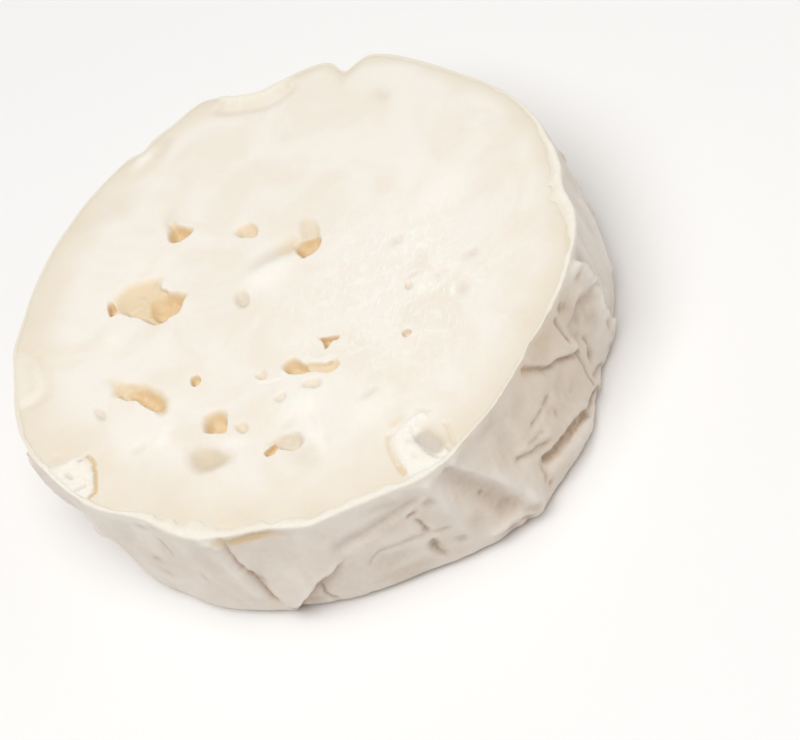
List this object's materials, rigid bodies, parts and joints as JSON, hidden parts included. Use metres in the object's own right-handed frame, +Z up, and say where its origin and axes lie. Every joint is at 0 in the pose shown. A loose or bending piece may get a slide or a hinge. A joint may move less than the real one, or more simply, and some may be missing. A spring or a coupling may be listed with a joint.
{
  "type": "brie wheel",
  "caption": "Small round of soft white-rinded cheese, cut level so that its pale paste shows on top, with holes, tucked rind and a folded rind wall. Lies flat on its underside.",
  "frame": {"origin": "on the surface that the wheel rests on, under the middle of its bounding box", "axes": "+Z up through the cut face; +X to the right and +Y away from the picture's camera, as seen with the face laid flat"},
  "size_m": [0.1136, 0.1171, 0.0249],
  "materials": {
    "paste": "satin",
    "rind": "matte"
  },
  "bodies": {
    "root": {"brie_wheel": "paste"}
  },
  "joints": []
}
